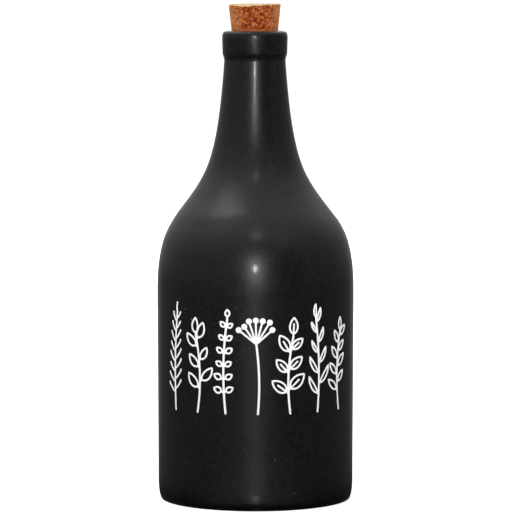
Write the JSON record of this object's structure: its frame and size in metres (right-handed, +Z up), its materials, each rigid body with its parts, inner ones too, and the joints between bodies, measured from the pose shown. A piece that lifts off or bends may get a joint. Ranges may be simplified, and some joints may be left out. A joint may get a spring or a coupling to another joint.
{
  "type": "ceramic vinegar bottle",
  "caption": "Tall dark-glazed stoneware bottle for vinegar, with a straight body, round shoulders, a long narrowing neck, a collared lip and a tapered cork in its mouth.",
  "frame": {"origin": "middle of the foot ring, on the surface that the bottle stands on", "axes": "+Z up along the bottle's axis to the cork; -Y faces the viewer and carries the printed side"},
  "size_m": [0.1, 0.1, 0.2523],
  "materials": {
    "black_glaze": "satin black glaze",
    "cork": "pressed cork grains, dry and matt",
    "white_enamel": "thin raised white enamel line",
    "bare_stoneware": "unglazed foot, matt"
  },
  "bodies": {
    "root": {"bottle": "black_glaze", "cork": "cork"}
  },
  "joints": []
}
